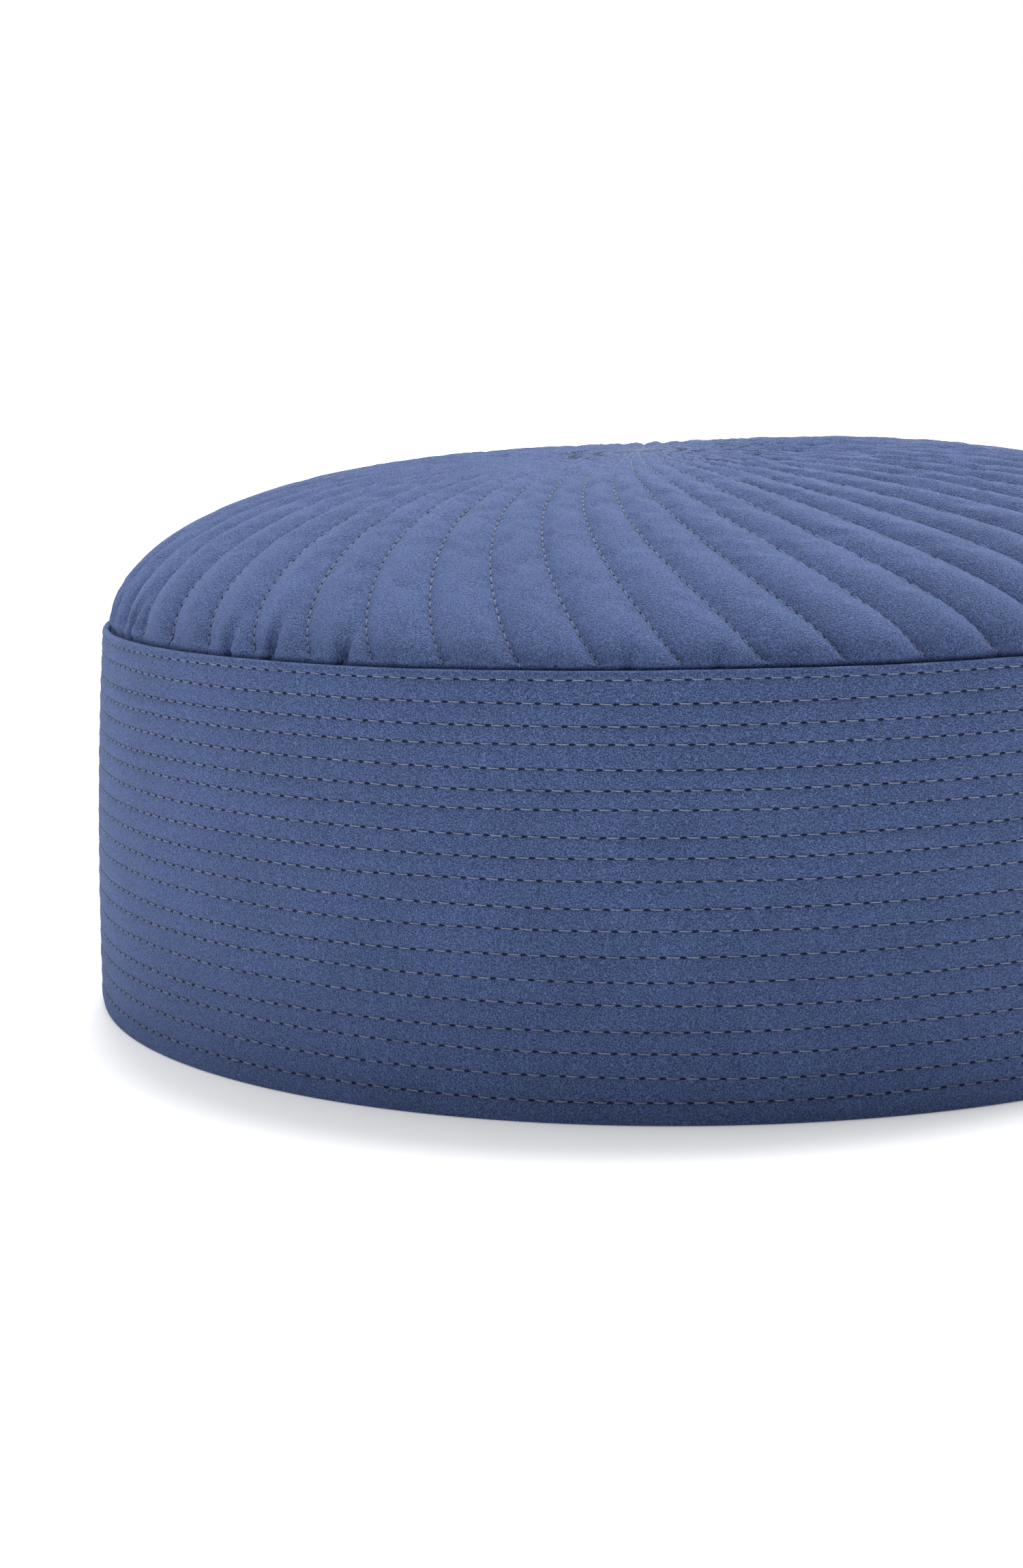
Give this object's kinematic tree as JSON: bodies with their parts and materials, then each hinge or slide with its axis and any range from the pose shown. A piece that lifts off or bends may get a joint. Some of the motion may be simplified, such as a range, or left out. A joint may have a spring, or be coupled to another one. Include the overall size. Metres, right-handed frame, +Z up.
{
  "type": "quilted round cap",
  "caption": "Round brimless cap with an upright row-stitched band and a low domed crown quilted in a swirl of curved lines, open underneath.",
  "frame": {"origin": "middle of the head opening, on the plane that the hem stands on", "axes": "+Z up through the middle of the crown; the front faces -Y and the band's closing seam is at +Y"},
  "size_m": [0.195, 0.195, 0.089],
  "materials": {
    "crepe_shell": "matte slate-blue crepe, fine pebbled weave",
    "lining_poplin": "plain-weave cotton lining, matte blue",
    "needle_felt": "off-white needle felt",
    "stiff_canvas": "natural stiffened canvas",
    "polyester_fill": "white polyester wadding",
    "sewing_thread": "grey-blue twisted polyester sewing thread"
  },
  "bodies": {
    "root": {"band_outer": "crepe_shell", "crown_outer": "crepe_shell", "band_lining": "lining_poplin", "crown_lining": "lining_poplin", "band_felt": "needle_felt", "band_canvas": "stiff_canvas", "crown_wadding": "polyester_fill", "crown_quilting_thread": "sewing_thread", "band_stitch_row_01": "sewing_thread", "band_stitch_row_02": "sewing_thread", "band_stitch_row_03": "sewing_thread", "band_stitch_row_04": "sewing_thread", "band_stitch_row_05": "sewing_thread", "band_stitch_row_06": "sewing_thread", "band_stitch_row_07": "sewing_thread", "band_stitch_row_08": "sewing_thread", "band_stitch_row_09": "sewing_thread", "band_stitch_row_10": "sewing_thread", "band_stitch_row_11": "sewing_thread", "band_stitch_row_12": "sewing_thread", "band_stitch_row_13": "sewing_thread", "band_stitch_row_14": "sewing_thread", "band_stitch_row_15": "sewing_thread", "band_stitch_row_16": "sewing_thread", "band_stitch_row_17": "sewing_thread", "band_stitch_row_18": "sewing_thread", "band_stitch_row_19": "sewing_thread"}
  },
  "joints": []
}
